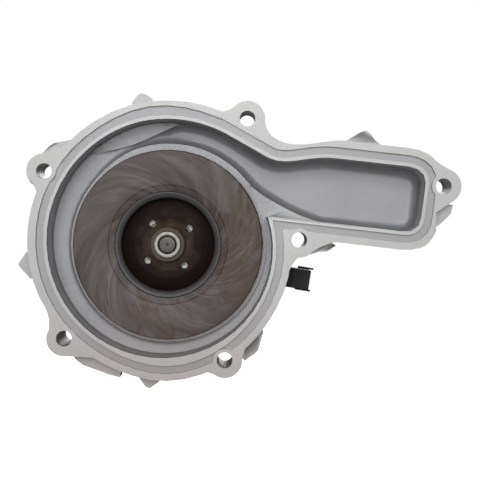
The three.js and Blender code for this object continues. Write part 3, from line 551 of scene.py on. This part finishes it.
FINISHES = {
    "cast_aluminium": cast_aluminium(),
    "brown_plastic": shroud_plastic(),
    "impeller_hub": hub_plastic(),
    "ring_plastic": eye_ring_plastic(),
    "bright_steel": bright_steel(),
    "dark_steel": dark_steel(),
    "bearing_steel": bearing_steel(),
    "spring_steel": spring_steel(),
    "black_plastic": black_plastic(),
    "black_rubber": black_rubber(),
    "potting": potting(),
    "carbon": carbon(),
    "ceramic": ceramic(),
    "black_paint": black_paint(),
}


def give_frame_finishes():
    """Every CAD node takes the finish of the slot that the record gives it."""
    for name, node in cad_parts.items():
        slot = node.data.materials[0].name
        node.data.materials[0] = FINISHES[slot]


# ---------------------------------------------------------------- housing
def roomy_sharp_edges(bm, sharper_than, room):
    """Sharp edges with no short edge at either end, so that there is room to round them."""
    limit = math.radians(sharper_than)
    cramped = {v for v in bm.verts if any(e.calc_length() < room * MM for e in v.link_edges)}
    return [e for e in bm.edges
            if len(e.link_faces) == 2 and e.calc_face_angle() > limit
            and e.verts[0] not in cramped and e.verts[1] not in cramped]


def pump_housing():
    bm = bmesh.new()
    bm.from_mesh(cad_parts["pump_housing"].data)
    bmesh.ops.remove_doubles(bm, verts=bm.verts, dist=HOUSING_MERGE * MM)
    bmesh.ops.dissolve_degenerate(bm, dist=HOUSING_MERGE * MM, edges=bm.edges)
    bmesh.ops.dissolve_limit(bm, angle_limit=math.radians(HOUSING_FLAT), use_dissolve_boundaries=False,
                             verts=bm.verts, edges=bm.edges)
    edges = roomy_sharp_edges(bm, HOUSING_SHARP, HOUSING_ROOM)
    bmesh.ops.bevel(bm, geom=edges, offset=HOUSING_EDGE * MM, offset_type="OFFSET", affect="EDGES",
                    segments=2, profile=0.5, material=-1, clamp_overlap=True)
    housing = piece("pump_housing", bm, "housing", FINISHES["cast_aluminium"], 55.0)
    level = housing.modifiers.new("level", "WEIGHTED_NORMAL")
    level.keep_sharp = True
    return housing


# ---------------------------------------------------------------- impeller
def impeller_vane(start):
    """A backward-curved vane between the back plate and the shroud."""
    inner, outer, steps = 38.3, 66.7, 24
    front, back = [], []
    for i in range(steps + 1):
        share = i / steps
        radius = inner + (outer - inner) * share
        lag = 52 * share ** 0.8
        half = math.degrees(1.3 / radius) * 1.6
        front.append(polar(radius, start + lag - half))
        back.append(polar(radius, start + lag + half))
    return plate(front + back[::-1], 12.5, 22.0)


def impeller():
    back_plate = turned([
        (9.5, 6.5), (11.7, 6.5), (12.3, 7.1), (12.6, 13.6), (13.6, 15.7), (16, 16.5), (24, 16.5),
        (29, 18.4), (34, 21), (IMPELLER_RADIUS, 21), (IMPELLER_RADIUS, 23.6), (34, 23.6), (25, 19.8),
        (14, 19.8), (13, 24.4), (9.5, 24.4),
    ], FINE_STEPS, 0.25)
    holes = [pin(2.5, 10, 24, at) for at in spots(BALANCE_HOLES, BALANCE_CIRCLE, BALANCE_START)]
    shroud_room = turned([(36, 12), (45.3, 12), (45.3, 12.6), (41.2, 15.5), (36, 15.5)],
                         FINE_STEPS, 0.0)
    vanes = [drilled(impeller_vane(360 * i / VANES), [shroud_room.copy()]) for i in range(VANES)]
    shroud_room.free()
    whole = merged([drilled(back_plate, holes), *vanes])
    return piece("impeller", whole, "rotor", FINISHES["impeller_hub"])


def impeller_shroud():
    """Front cover of the impeller, with the shallow rings that its mould's pins leave."""
    cover = turned([
        (37.9, 11), (42.3, 10.5), (42.7, 9.9), (66.6, 9), (IMPELLER_RADIUS, 9.7),
        (IMPELLER_RADIUS, 12.2), (45, 12.2), (41, 15.2), (37.9, 15.2),
    ], FINE_STEPS, 0.2)
    marks = []
    for spot, radius in (((14.9, -47.2), 1.6), ((38.8, -40.1), 3.0), ((31.4, -46.9), 2.6)):
        marks.append(moved(ring(radius - 0.35, radius, 8.0, 9.95, 32, 0.0), spot[0], 0.0, spot[1]))
    return piece("impeller_shroud", drilled(cover, marks), "rotor", FINISHES["brown_plastic"])


def impeller_eye_ring():
    bm = turned([
        (33.2, 14), (33.9, 12.5), (35.2, 11.5), (36.8, 11), (37.6, 11), (37.6, 15.2), (33.2, 15.2),
    ], FINE_STEPS, 0.3)
    return piece("impeller_eye_ring", bm, "rotor", FINISHES["ring_plastic"])


def impeller_bush():
    sleeve = ring(6.7, BUSH_OUTER, 4.3, 25.4, PLAIN_STEPS, 0.3)
    punch_marks = [pin(0.5, 3.8, 4.75, (side * 8.0, 0.4), 16) for side in (-1, 1)]
    return piece("impeller_bush", drilled(sleeve, punch_marks), "rotor", FINISHES["bright_steel"])


def pump_shaft():
    """Stepped shaft with a centre drilling in its nose and a thread for the hub nut."""
    profile = [(0, 5.9), (0.9, 5), (5.45, 5), (6.35, 5.9), (6.35, 41), (8, 42), (8, 106), (4.9, 106)]
    first, pitch, threads = 106.4, 1.5, 7
    for i in range(threads):
        crest = first + pitch * i
        profile += [(THREAD_CREST, crest), (THREAD_CREST, crest + 0.3), (4.75, first + pitch * (i + 0.6))]
    profile += [(THREAD_CREST, SHAFT_END - 1), (4.5, SHAFT_END), (0, SHAFT_END)]
    return piece("pump_shaft", turned(profile, PLAIN_STEPS, 0.1), "rotor", FINISHES["dark_steel"])


# ---------------------------------------------------------------- clutch coil and pulley bearing
def coil_shell():
    shell = turned([
        (27.6, 54), (64, 54), (64, 78), (61, 78), (61, 58), (49, 58), (49, 78), (46, 78), (46, 57),
        (27.6, 57),
    ], FINE_STEPS, 0.5)
    holes = [pin(RIVET_HOLE, 50, 60, at) for at in spots(COIL_SCREWS, COIL_SCREW_CIRCLE, 90)]
    return piece("coil_shell", drilled(shell, holes), "housing", FINISHES["dark_steel"])


def coil_winding():
    """Potted winding with shallow turns showing in its face."""
    inside, outside, turns, groove, face = 49.3, 60.7, 9, 76.6, 77.0
    profile = [(inside, 58.3), (outside, 58.3), (outside, groove)]
    step = (outside - inside) / turns
    for i in range(turns):
        outer = outside - step * i
        profile += [(outer - step * 0.3, face), (outer - step * 0.7, face), (outer - step, groove)]
    return piece("coil_winding", turned(profile, FINE_STEPS, 0.1), "housing", FINISHES["potting"])


def coil_screws():
    for i, at in enumerate(spots(COIL_SCREWS, COIL_SCREW_CIRCLE, 90)):
        screw = turned([
            (0, 45), (2.5, 45), (2.5, 57.3), (4.2, 57.3), (4.2, 59.8), (3.7, 60.2), (0, 60.2),
        ], SMALL_STEPS, 0.12)
        socket = turned([(0, 58.6), (1.6, 58.6), (1.6, 61), (0, 61)], 6, 0.0)
        screw = moved(drilled(screw, [socket]), at[0], 0.0, at[1])
        piece(f"coil_screw_{i + 1}", screw, "housing", FINISHES["bright_steel"])


def pulley_bearing_rings():
    inner = turned([(27.3, 62), (31, 62), (31, 69.6), (30.2, 72), (31, 74.4), (31, 82), (27.3, 82)],
                   FINE_STEPS, 0.4)
    piece("pulley_bearing_inner_ring", inner, "housing", FINISHES["bearing_steel"])
    outer = turned([(37, 62), (41, 62), (41, 82), (37, 82), (37, 74.4), (37.8, 72), (37, 69.6)],
                   FINE_STEPS, 0.4)
    piece("pulley_bearing_outer_ring", outer, "pulley", FINISHES["bearing_steel"])


def snout_circlip():
    """Retaining ring with a gap at the bottom between its two eyes."""
    gap = block((5, 10, 30), (0, 83.2, -28))
    band = drilled(ring(25.9, 30, CIRCLIP_NEAR, CIRCLIP_FAR, PLAIN_STEPS, 0.0), [gap])
    places = [(x, CIRCLIP_EYE_HEIGHT) for x in CIRCLIP_EYES]
    eyes = [pin(2.2, CIRCLIP_NEAR, CIRCLIP_FAR, at) for at in places]
    holes = [pin(1.0, CIRCLIP_NEAR - 1, CIRCLIP_FAR + 1, at, 24) for at in places]
    whole = drilled(welded([band, *eyes]), holes)
    clip = piece("snout_circlip", whole, "housing", FINISHES["spring_steel"])
    return with_rounded_edges(clip, 0.15)


# ---------------------------------------------------------------- pulley, armature and drive hub
def arc_slots(inner, outer, near, far, count, start):
    """Curved slots that split a plate's magnetic path."""
    span = 360 / count - 18
    tools = []
    for i in range(count):
        first = start + 360 * i / count
        angles = [first + span * j / 24 for j in range(25)]
        outline = [polar(outer, a) for a in angles] + [polar(inner, a) for a in reversed(angles)]
        tools.append(plate(outline, near, far))
    return tools


def clutch_pulley():
    """Grooved belt pulley with a friction face split by slots."""
    crest, depth, pitch, ribs = 75.0, 3.2, 3.56, 8
    near, far = 58.0, 88.0
    first = (near + far - ribs * pitch) / 2
    profile = [(41.3, 61), (45.3, 61), (45.3, 79.5), (64.8, 79.5), (64.8, near), (crest - 1, near)]
    for i in range(ribs):
        y = first + i * pitch
        profile += [(crest, y), (crest - depth, y + pitch / 2)]
    profile += [(crest, far - first + near), (crest - 1, far), (70.5, far), (70.5, 85), (38.8, 85),
                (38.8, 82.3), (41.3, 82.3)]
    wheel = turned(profile, FINE_STEPS, 0.3)
    slots = [*arc_slots(50, 52.4, 78, 87, 4, 0), *arc_slots(59.5, 61.9, 78, 87, 4, 45)]
    return piece("clutch_pulley", drilled(wheel, slots), "pulley", FINISHES["black_paint"])


def leaf_spots(radius, lead):
    return spots(LEAVES, radius, 90 + lead)


def armature_plate():
    disc_ring = ring(47, 69.5, 85.5, 90, FINE_STEPS, 0.5)
    holes = [pin(RIVET_HOLE, 80, 95, at) for at in leaf_spots(ARMATURE_RIVET_CIRCLE, LEAF_SWEEP)]
    return piece("armature_plate", drilled(disc_ring, holes), "armature", FINISHES["dark_steel"])


def leaf_outline(start, end, half):
    """A strap with round ends from one spot to another."""
    lean = math.degrees(math.atan2(end[1] - start[1], end[0] - start[0]))
    outline = []
    for centre, first in ((start, lean + 90), (end, lean - 90)):
        for j in range(17):
            x, z = polar(half, first + 180 * j / 16)
            outline.append((centre[0] + x, centre[1] + z))
    return outline


def leaf_springs():
    pairs = zip(leaf_spots(HUB_RIVET_CIRCLE, 0), leaf_spots(ARMATURE_RIVET_CIRCLE, LEAF_SWEEP))
    for i, (start, end) in enumerate(pairs):
        strap = plate(leaf_outline(start, end, 5), LEAF_NEAR, LEAF_FAR)
        strap = drilled(strap, [pin(RIVET_HOLE, 80, 95, at) for at in (start, end)])
        leaf = piece(f"leaf_spring_{i + 1}", strap, "rotor", FINISHES["spring_steel"])
        with_rounded_edges(leaf, 0.15)


def rivet(at, shank_near, head_near, head_far):
    """Round-headed rivet on a plain shank."""
    head = turned([
        (0, shank_near), (2.5, shank_near), (2.5, head_near), (4.2, head_near), (4.1, head_near + 0.6),
        (3.4, head_far - 0.7), (2.2, head_far - 0.15), (0, head_far),
    ], SMALL_STEPS, 0.1)
    return moved(head, at[0], 0.0, at[1])


def rivets():
    steel = FINISHES["bright_steel"]
    for i, at in enumerate(leaf_spots(HUB_RIVET_CIRCLE, 0)):
        piece(f"hub_rivet_{i + 1}", rivet(at, 89.4, 95.8, 98), "rotor", steel)
    for i, at in enumerate(leaf_spots(ARMATURE_RIVET_CIRCLE, LEAF_SWEEP)):
        piece(f"armature_rivet_{i + 1}", rivet(at, 86, 92.1, 94.4), "armature", steel)


def drive_hub():
    lobes = leaf_spots(HUB_RIVET_CIRCLE, 0)
    disc_plate = disc(24, HUB_PLATE_NEAR, HUB_PLATE_FAR, PLAIN_STEPS)
    boss = turned([(0, 88.4), (13, 88.4), (14, 89.4), (14, 104.5), (12.5, 105.7), (0, 105.7)],
                  PLAIN_STEPS, 0.0)
    ears = [pin(8, HUB_PLATE_NEAR, HUB_PLATE_FAR, at) for at in lobes]
    bore = pin(8.3, 80, 110, (0, 0), PLAIN_STEPS)
    holes = [pin(RIVET_HOLE, 85, 100, at) for at in lobes]
    body = drilled(welded([disc_plate, boss, *ears]), [bore, *holes])
    hub = piece("drive_hub", body, "rotor", FINISHES["dark_steel"])
    return with_rounded_edges(hub, 0.4)


def hub_nut():
    """Hexagon nut with chamfered corners."""
    blank = turned([(0, 106.3), (9.4, 106.3), (9.4, 114), (0, 114)], 6, 0.0)
    cones = turned([
        (8.2, 106.0), (8.2, 106.3), (9.5, 106.95), (9.5, 113.35), (8.2, 114), (8.2, 115), (12, 115),
        (12, 106.0),
    ], PLAIN_STEPS, 0.0)
    nut = drilled(rotated(blank, 30), [cones, pin(5.8, 100, 120, (0, 0))])
    return with_rounded_edges(piece("hub_nut", nut, "rotor", FINISHES["bright_steel"]), 0.15)


# ---------------------------------------------------------------- connector
def at_connector(bm):
    """Puts a body made in the connector's own frame where the connector is."""
    tilt = Matrix.Rotation(math.radians(CONNECTOR_TILT), 4, "Y")
    place = Matrix.Translation([c * MM for c in CONNECTOR_AT])
    bmesh.ops.transform(bm, matrix=place @ tilt, verts=bm.verts)
    return bm


def connector_housing():
    """Socket on an arm that runs back under the flange to the coil."""
    arm = block((37, 7, 13), (-23.5, -7, 0))
    root = block((12, 7.4, 14.8), (-6, -6.8, 0))
    shell = block((18, 19.4, 14.8), (0, -0.8, 0))
    cavity = block((14, 14, 11.4), (3.2, -0.8, 0))
    slots = [block((20, 1.4, 3.4), (-8, -0.8, z)) for z in (-TERMINAL_SIDE, TERMINAL_SIDE)]
    body = drilled(welded([shell, root, arm]), [cavity, *slots])
    socket = piece("connector_housing", at_connector(body), "housing", FINISHES["black_plastic"])
    return with_rounded_edges(socket, 0.35)


def connector_clip():
    """Sprung clip that locks the plug: two rails and the bridge between them."""
    rails = [block((11.6, 8, 1.3), (5.8, 6.2, side * RAIL_SIDE)) for side in (-1, 1)]
    bridge = block((8.6, 1.3, 18), (4.3, 9.85, 0))
    whole = at_connector(welded([bridge, *rails]))
    clip = piece("connector_clip", whole, "housing", FINISHES["black_plastic"])
    return with_rounded_edges(clip, 0.25)


def connector_terminals():
    for i, z in enumerate((TERMINAL_SIDE, -TERMINAL_SIDE)):
        blade = at_connector(block((12.5, 0.8, 2.8), (-1.6, -0.8, z)))
        blade = piece(f"connector_terminal_{i + 1}", blade, "housing", FINISHES["bright_steel"])
        with_rounded_edges(blade, 0.15)


# ---------------------------------------------------------------- camera, light and floor
def make_camera():
    data = bpy.data.cameras.new("camera")
    data.sensor_width = 36.0
    data.lens = CAMERA_LENS
    data.shift_x, data.shift_y = CAMERA_SHIFT
    data.clip_start = 0.01
    data.clip_end = 20.0
    camera = bpy.data.objects.new("camera", data)
    bpy.context.scene.collection.objects.link(camera)
    camera.location = CAMERA_AT
    camera.rotation_euler = (math.radians(90), 0, 0)
    bpy.context.scene.camera = camera


def area_light(name, place, target, size, power):
    data = bpy.data.lights.new(name, "AREA")
    data.shape = "SQUARE"
    data.size = size
    data.energy = power
    lamp = bpy.data.objects.new(name, data)
    bpy.context.scene.collection.objects.link(lamp)
    lamp.location = place
    lamp.rotation_euler = (Vector(target) - Vector(place)).to_track_quat("-Z", "Y").to_euler()
    return lamp


def make_studio():
    area_light("front_softbox", (0.0, -1.5, 0.35), (0.03, 0, 0), 1.1, 15.0)
    area_light("rear_softbox", (0.4, 1.5, 0.8), (0.03, 0.05, 0), 1.2, 22.0)
    scene = bpy.context.scene
    scene.view_settings.view_transform = "Standard"
    world = bpy.data.worlds.new("studio")
    scene.world = world
    world.use_nodes = True
    nodes = world.node_tree.nodes
    links = world.node_tree.links
    nodes.clear()
    out = nodes.new("ShaderNodeOutputWorld")
    seen = nodes.new("ShaderNodeLightPath").outputs["Is Camera Ray"]
    lighting = nodes.new("ShaderNodeBackground")
    lighting.inputs["Color"].default_value = (1, 1, 1, 1)
    lighting.inputs["Strength"].default_value = 0.12
    backdrop = nodes.new("ShaderNodeBackground")
    backdrop.inputs["Color"].default_value = (1, 1, 1, 1)
    backdrop.inputs["Strength"].default_value = 1.0
    choice = nodes.new("ShaderNodeMixShader")
    links.new(seen, choice.inputs[0])
    links.new(lighting.outputs[0], choice.inputs[1])
    links.new(backdrop.outputs[0], choice.inputs[2])
    links.new(choice.outputs[0], out.inputs["Surface"])


def make_floor():
    low, _ = cad_box
    bm = bmesh.new()
    bmesh.ops.create_grid(bm, x_segments=1, y_segments=1, size=3.0)
    bmesh.ops.translate(bm, verts=bm.verts, vec=(0, 0, low.z - FLOOR_DROP))
    mesh = bpy.data.meshes.new("floor")
    bm.to_mesh(mesh)
    bm.free()
    floor = bpy.data.objects.new("floor", mesh)
    bpy.context.scene.collection.objects.link(floor)
    finish, nodes, links, shader, place = new_finish("pale_floor")
    tone = noise(nodes, links, place, 3.0, 2.0)
    links.new(ramp(nodes, links, tone, [(0.3, (0.90, 0.90, 0.90)), (0.7, (0.94, 0.94, 0.94))]),
              shader.inputs["Base Color"])
    shader.inputs["Roughness"].default_value = 0.9
    shader.inputs["Emission Color"].default_value = (1, 1, 1, 1)
    shader.inputs["Emission Strength"].default_value = 0.9
    mesh.materials.append(finish)
    floor.visible_diffuse = False
    floor.visible_glossy = False


# ---------------------------------------------------------------- assembly
give_frame_finishes()
make_camera()
make_studio()
make_floor()

pump_housing()
impeller()
impeller_shroud()
impeller_eye_ring()
impeller_bush()
pump_shaft()
coil_shell()
coil_winding()
coil_screws()
pulley_bearing_rings()
snout_circlip()
clutch_pulley()
armature_plate()
leaf_springs()
rivets()
drive_hub()
hub_nut()
connector_housing()
connector_clip()
connector_terminals()

bpy.context.view_layer.update()
